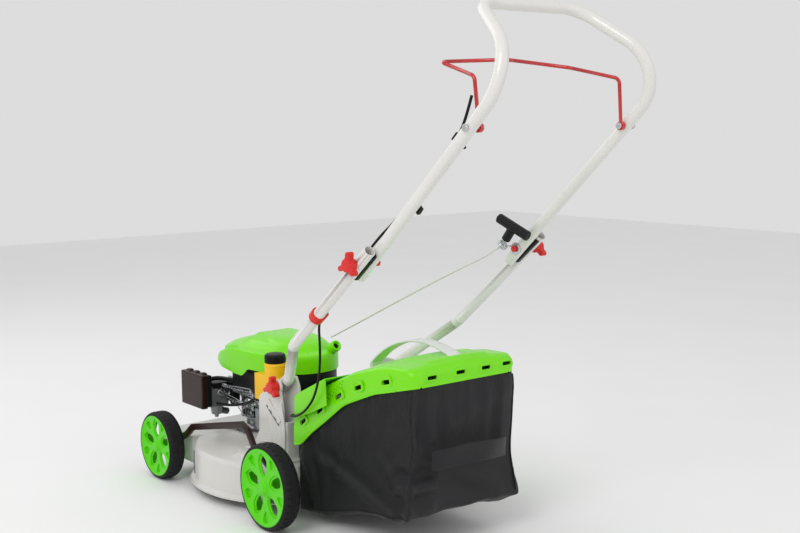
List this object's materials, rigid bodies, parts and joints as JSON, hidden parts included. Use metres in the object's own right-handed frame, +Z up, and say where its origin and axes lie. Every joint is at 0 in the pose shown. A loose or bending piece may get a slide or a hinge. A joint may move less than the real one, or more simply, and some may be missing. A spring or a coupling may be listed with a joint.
{
  "type": "push lawn mower",
  "caption": "Petrol push lawn mower with a round steel deck, green engine cowl, folding tube handle with stop bail, and a rear fabric grass bag with a green cover.",
  "frame": {"origin": "on the ground under the middle of the bounding box", "axes": "+X forwards (direction of mowing), +Y to the left of the operator, +Z up"},
  "size_m": [1.1546, 0.503, 1.0131],
  "materials": {
    "black": "satin",
    "brown_black": "satin",
    "cable": "satin",
    "cast": "cast",
    "clear_white": "semi-gloss",
    "cord_white": "braided",
    "dark_steel": "worn",
    "deck_paint": "satin",
    "fabric": "woven",
    "green": "semi-gloss",
    "handle_paint": "semi-gloss",
    "red": "gloss",
    "red_plastic": "semi-gloss",
    "steel": "brushed",
    "tyre": "matte",
    "wheel_green": "satin",
    "yellow": "satin"
  },
  "bodies": {
    "chassis": {"deck": "deck_paint", "rear_chute": "black", "left_bracket": "deck_paint", "right_bracket": "deck_paint", "side_trim": "black", "deck_bolts": "steel", "engine_block": "cast", "cylinder_head": "cast", "fan_housing": "black", "cowl": "green", "muffler": "steel", "muffler_guard": "steel", "carburettor": "cast", "inlet_pipe": "black", "control_plate": "steel", "air_filter_base": "black", "air_filter_cover": "brown_black", "fuel_tank": "yellow", "spark_plug": "black", "flap_rod": "steel"},
    "crank": {"crankshaft": "dark_steel", "flywheel": "cast", "blade": "dark_steel", "blade_bolt": "steel"},
    "reel": {"starter_pulley": "black"},
    "rear_axle": {"rear_axle": "steel", "height_lever": "black"},
    "front_axle": {"front_axle": "steel"},
    "link": {"link_bar": "brown_black"},
    "front_left_wheel": {"front_left_rim": "wheel_green", "front_left_tyre": "tyre"},
    "front_right_wheel": {"front_right_rim": "wheel_green", "front_right_tyre": "tyre"},
    "rear_left_wheel": {"rear_left_rim": "wheel_green", "rear_left_tyre": "tyre"},
    "rear_right_wheel": {"rear_right_rim": "wheel_green", "rear_right_tyre": "tyre"},
    "lower_handle": {"lower_tubes": "handle_paint", "tube_spacers": "black", "cable_clip": "red_plastic", "rope_guide": "steel", "brake_cable_lower": "cable", "starter_rope": "cord_white"},
    "upper_handle": {"upper_handle": "handle_paint", "bail_pins": "steel", "cable_hook": "black", "cable_stop": "black", "brake_cable_upper": "cable"},
    "left_fold_knob": {"left_fold_knob": "red_plastic"},
    "right_fold_knob": {"right_fold_knob": "red_plastic"},
    "left_foot_knob": {"left_foot_knob": "red_plastic"},
    "right_foot_knob": {"right_foot_knob": "red_plastic"},
    "bail": {"bail": "red"},
    "starter_grip": {"starter_grip": "black"},
    "fuel_cap": {"fuel_cap": "black"},
    "oil_dipstick": {"oil_dipstick": "black"},
    "flap": {"discharge_flap": "green"},
    "bag": {"bag_cover": "green", "grass_bag": "fabric", "carry_handle": "clear_white"}
  },
  "joints": [
    {"name": "crank_spin", "type": "hinge", "parent": "chassis", "child": "crank", "pos_m": [0.28226, 0, 0.1], "axis": [0, 0, 1], "continuous": true},
    {"name": "height_adjust", "type": "hinge", "parent": "chassis", "child": "rear_axle", "pos_m": [0.07626, 0, 0.062], "axis": [0, -1, 0], "range_deg": [0, 33]},
    {"name": "front_height_adjust", "type": "hinge", "parent": "chassis", "child": "front_axle", "pos_m": [0.53426, 0, 0.0515], "axis": [0, -1, 0], "range_deg": [0, 33]},
    {"name": "link_swing", "type": "hinge", "parent": "rear_axle", "child": "link", "pos_m": [0.04226, 0.2, 0.0875], "axis": [0, -1, 0], "range_deg": [-33, 0]},
    {"name": "rear_left_roll", "type": "hinge", "parent": "rear_axle", "child": "rear_left_wheel", "pos_m": [0.04226, 0.231, 0.0875], "axis": [0, 1, 0], "continuous": true},
    {"name": "rear_right_roll", "type": "hinge", "parent": "rear_axle", "child": "rear_right_wheel", "pos_m": [0.04226, -0.231, 0.0875], "axis": [0, 1, 0], "continuous": true},
    {"name": "front_left_roll", "type": "hinge", "parent": "front_axle", "child": "front_left_wheel", "pos_m": [0.50026, 0.231, 0.077], "axis": [0, 1, 0], "continuous": true},
    {"name": "front_right_roll", "type": "hinge", "parent": "front_axle", "child": "front_right_wheel", "pos_m": [0.50026, -0.231, 0.077], "axis": [0, 1, 0], "continuous": true},
    {"name": "lower_fold", "type": "hinge", "parent": "chassis", "child": "lower_handle", "pos_m": [0.11426, 0, 0.268], "axis": [0, 1, 0], "range_deg": [0, 50], "deforming": ["brake_cable_lower", "starter_rope"]},
    {"name": "upper_fold", "type": "hinge", "parent": "lower_handle", "child": "upper_handle", "pos_m": [-0.23974, 0, 0.557], "axis": [0, 1, 0], "range_deg": [0, 105], "deforming": ["brake_cable_upper"]},
    {"name": "left_fold_knob_turn", "type": "hinge", "parent": "lower_handle", "child": "left_fold_knob", "pos_m": [-0.23974, 0.225, 0.557], "axis": [0, 1, 0], "continuous": true},
    {"name": "right_fold_knob_turn", "type": "hinge", "parent": "lower_handle", "child": "right_fold_knob", "pos_m": [-0.23974, -0.225, 0.557], "axis": [0, 1, 0], "continuous": true},
    {"name": "left_foot_knob_turn", "type": "hinge", "parent": "chassis", "child": "left_foot_knob", "pos_m": [0.11426, 0.165, 0.268], "axis": [0, 1, 0], "continuous": true},
    {"name": "right_foot_knob_turn", "type": "hinge", "parent": "chassis", "child": "right_foot_knob", "pos_m": [0.11426, -0.165, 0.268], "axis": [0, 1, 0], "continuous": true},
    {"name": "bail_swing", "type": "hinge", "parent": "upper_handle", "child": "bail", "pos_m": [-0.50974, 0, 0.797], "axis": [0, -1, 0], "range_deg": [0, 28], "stiffness_Nm_per_rad": 0.4},
    {"name": "grip_pull", "type": "slide", "parent": "lower_handle", "child": "starter_grip", "axis": [-0.6332, 0, 0.774], "range_m": [0, 0.25]},
    {"name": "reel_turn", "type": "hinge", "parent": "chassis", "child": "reel", "pos_m": [0.28226, 0, 0.31], "axis": [0, 0, 1], "range_deg": [0, 300]},
    {"name": "fuel_cap_turn", "type": "hinge", "parent": "chassis", "child": "fuel_cap", "pos_m": [0.21226, 0.104, 0.3], "axis": [0, 0, 1], "continuous": true},
    {"name": "dipstick_turn", "type": "hinge", "parent": "chassis", "child": "oil_dipstick", "pos_m": [0.29026, 0.084, 0.17], "axis": [0, 0, 1], "continuous": true},
    {"name": "flap_swing", "type": "hinge", "parent": "chassis", "child": "flap", "pos_m": [0.06626, 0, 0.245], "axis": [0, 1, 0], "range_deg": [0, 36], "stiffness_Nm_per_rad": 0.5},
    {"name": "bag_off", "type": "slide", "parent": "chassis", "child": "bag", "axis": [-1, 0, 0], "range_m": [0, 0.25]}
  ],
  "couplings": [
    {"joint": "front_height_adjust", "follows": "height_adjust", "ratio": 1},
    {"joint": "link_swing", "follows": "height_adjust", "ratio": -1},
    {"joint": "reel_turn", "follows": "grip_pull", "rad_per_m": 20.833}
  ]
}
